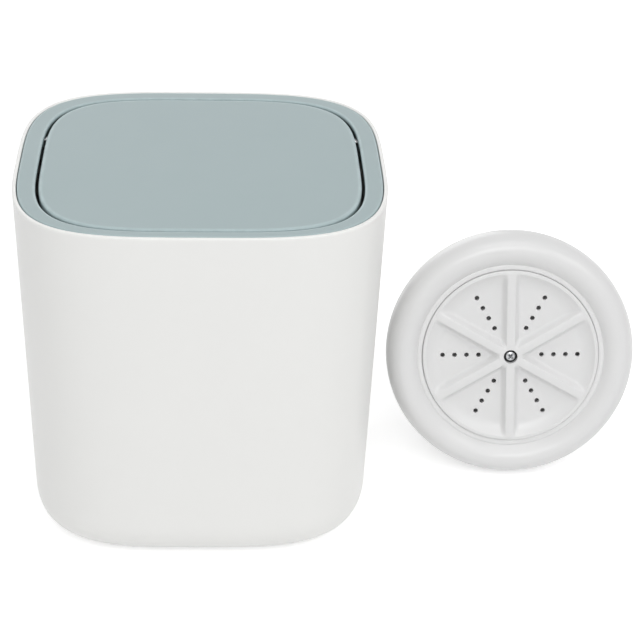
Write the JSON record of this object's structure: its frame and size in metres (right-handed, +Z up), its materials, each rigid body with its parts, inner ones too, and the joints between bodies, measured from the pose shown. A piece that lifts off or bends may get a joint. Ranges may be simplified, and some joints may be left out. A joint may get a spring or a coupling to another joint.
{
  "type": "portable mini washer",
  "caption": "Lidded rounded-square wash tub with a rocking flap, and a round turbine washer unit with a ribbed pulsator and suction cups standing on edge beside it.",
  "frame": {"origin": "on the ground, under the middle of the tub's foot", "axes": "+Z up, the tub's front faces -Y, and the washer unit stands on the +X side of the tub"},
  "size_m": [0.3342, 0.19, 0.19],
  "materials": {
    "tub_plastic": "satin white",
    "lid_plastic": "matt grey-blue",
    "shell_plastic": "semi-gloss white",
    "steel": "bright steel",
    "dark_rubber": "matt black",
    "clear_rubber": "milky silicone",
    "dark_plastic": "matt black",
    "board": "green solder mask",
    "nylon": "natural nylon",
    "brass": "turned brass"
  },
  "bodies": {
    "tub": {"tub": "tub_plastic"},
    "lid_frame": {"lid_frame": "lid_plastic"},
    "lid_flap": {"lid_flap": "lid_plastic", "pivot_pins": "steel"},
    "washer_unit": {"top_housing": "shell_plastic", "base_housing": "shell_plastic", "housing_seal": "dark_rubber", "housing_screws": "steel", "gear_plate": "steel", "plate_screws": "steel", "motor_can": "steel", "motor_cap": "dark_plastic", "motor_screws": "steel", "upper_bearing": "steel", "lower_bush": "brass", "shaft_seal": "dark_rubber", "control_board": "board", "board_parts": "dark_plastic", "cable_gland": "dark_rubber", "suction_cups": "clear_rubber"},
    "pulsator": {"pulsator": "shell_plastic", "pulsator_screw": "steel", "screw_washer": "dark_rubber", "drive_shaft": "steel", "drive_gear": "nylon"},
    "motor_rotor": {"motor_shaft": "steel", "motor_pinion": "brass"}
  },
  "joints": [
    {"name": "frame_lift", "type": "slide", "parent": "tub", "child": "lid_frame", "axis": [0, 0, 1], "range_m": [0, 0.12]},
    {"name": "flap_swing", "type": "hinge", "parent": "lid_frame", "child": "lid_flap", "pos_m": [0, 0.0387, 0.184], "axis": [-1, 0, 0], "range_deg": [0, 75]},
    {"name": "washer_lift", "type": "slide", "parent": "tub", "child": "washer_unit", "axis": [0, 0, 1], "range_m": [0, 0.25]},
    {"name": "pulsator_spin", "type": "hinge", "parent": "washer_unit", "child": "pulsator", "pos_m": [0.17036, 0.01185, 0.06904], "axis": [-0.051, -0.973, 0.225], "continuous": true},
    {"name": "motor_spin", "type": "hinge", "parent": "washer_unit", "child": "motor_rotor", "pos_m": [0.14343, 0.03288, 0.06452], "axis": [-0.051, -0.973, 0.225], "continuous": true}
  ],
  "couplings": [
    {"joint": "motor_spin", "follows": "pulsator_spin", "ratio": -4}
  ]
}
